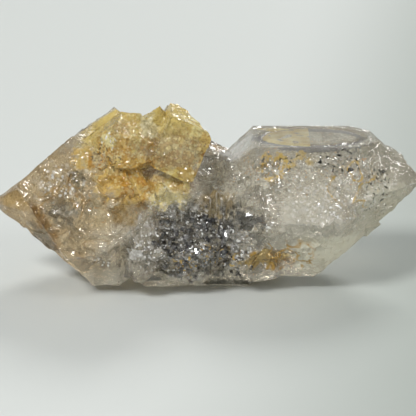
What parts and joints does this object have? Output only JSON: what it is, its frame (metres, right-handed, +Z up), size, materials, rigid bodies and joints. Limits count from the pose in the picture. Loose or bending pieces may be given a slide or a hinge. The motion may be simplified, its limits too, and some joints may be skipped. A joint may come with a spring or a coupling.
{
  "type": "enhydro quartz point",
  "caption": "Double-ended skeletal quartz crystal with golden blocky crystals on one shoulder, a rough dark waist and a broad flat window on top.",
  "frame": {"origin": "on the surface that the crystal lies on, in the middle of its length and depth", "axes": "+X along the crystal from the left point to the right point, -Y the front seen in the picture, +Z up"},
  "size_m": [0.0926, 0.0372, 0.0401],
  "materials": {
    "quartz": "clear to milky smoky quartz with golden iron-oxide stains, partly etched"
  },
  "bodies": {
    "root": {"quartz_crystal": "quartz"}
  },
  "joints": []
}
